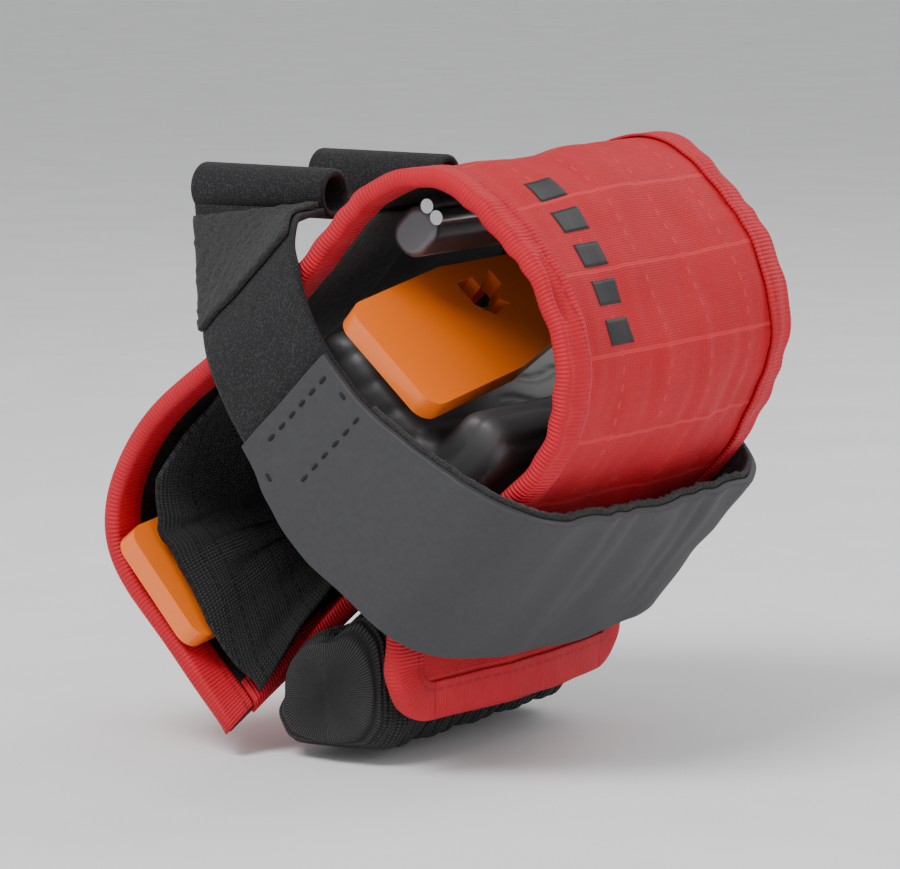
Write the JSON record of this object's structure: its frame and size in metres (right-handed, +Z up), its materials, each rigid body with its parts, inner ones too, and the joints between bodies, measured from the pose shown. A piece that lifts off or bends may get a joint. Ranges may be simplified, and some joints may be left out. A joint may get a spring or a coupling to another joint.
{
  "type": "saddle bag",
  "caption": "Tool-roll saddle bag: a bound fabric panel wrapped round tyre levers, tube and tools, hung from two saddle rails by a gripper strap with hook-and-loop tails.",
  "frame": {"origin": "midway between the two saddle rails where the strap's loops hold them", "axes": "+X to the bicycle's rear, +Y to its right-hand side, +Z up"},
  "size_m": [0.1172, 0.1067, 0.1261],
  "materials": {
    "red_ripstop": "ripstop weave",
    "black_lining": "plain weave",
    "red_tape": "ribbed grosgrain",
    "ribbed_elastic": "ribbed",
    "mesh_elastic": "fine mesh",
    "hook_tape": "fuzzy",
    "black_print": "matte ink",
    "black_knit": "smooth knit",
    "gripper_rubber": "matte",
    "loop_tape": "fuzzy",
    "black_thread": "matte",
    "orange_plastic": "satin",
    "butyl_rubber": "satin",
    "brass_valve": "nickel plated",
    "cap_plastic": "matte",
    "grey_alloy": "anodised",
    "bit_steel": "satin",
    "cartridge_steel": "satin",
    "head_alloy": "anodised"
  },
  "bodies": {
    "bag": {"outer_panel": "red_ripstop", "inner_lining": "black_lining", "left_edge_binding": "red_tape", "right_edge_binding": "red_tape", "flap_end_binding": "red_tape", "tucked_end_binding": "red_tape", "lever_pocket": "ribbed_elastic", "tool_pocket": "mesh_elastic", "hook_patch": "hook_tape", "lower_sleeve": "ribbed_elastic", "printed_bars": "black_print", "left_strap": "black_knit", "right_strap": "black_knit", "strap_gripper": "gripper_rubber", "strap_backing": "loop_tape", "left_seam_stitching": "black_thread", "right_seam_stitching": "black_thread", "inner_tube": "butyl_rubber", "valve_stem": "brass_valve", "valve_cap": "cap_plastic"},
    "upper_lever": {"upper_tyre_lever": "orange_plastic"},
    "lower_lever": {"lower_tyre_lever": "orange_plastic"},
    "multi_tool": {"tool_handle": "grey_alloy", "tool_bits": "bit_steel"},
    "gas_kit": {"gas_cartridge": "cartridge_steel", "inflator_head": "head_alloy"},
    "left_tail": {"left_tab": "loop_tape"},
    "right_tail": {"right_tab": "loop_tape"}
  },
  "joints": [
    {"name": "upper_lever_slide", "type": "slide", "parent": "bag", "child": "upper_lever", "axis": [-0.1062, -0.9758, -0.1911], "range_m": [0, 0.09]},
    {"name": "lower_lever_slide", "type": "slide", "parent": "bag", "child": "lower_lever", "axis": [-0.0427, -0.9894, -0.1386], "range_m": [0, 0.09]},
    {"name": "tool_slide", "type": "slide", "parent": "bag", "child": "multi_tool", "axis": [0, -1, 0], "range_m": [0, 0.085]},
    {"name": "cartridge_slide", "type": "slide", "parent": "bag", "child": "gas_kit", "axis": [0, 1, 0], "range_m": [0, 0.08]},
    {"name": "left_tail_peel", "type": "hinge", "parent": "bag", "child": "left_tail", "pos_m": [0, -0.0285, 0.001], "axis": [-1, 0, 0], "range_deg": [0, 100]},
    {"name": "right_tail_peel", "type": "hinge", "parent": "bag", "child": "right_tail", "pos_m": [0, 0.0285, 0.001], "axis": [1, 0, 0], "range_deg": [0, 100]}
  ]
}
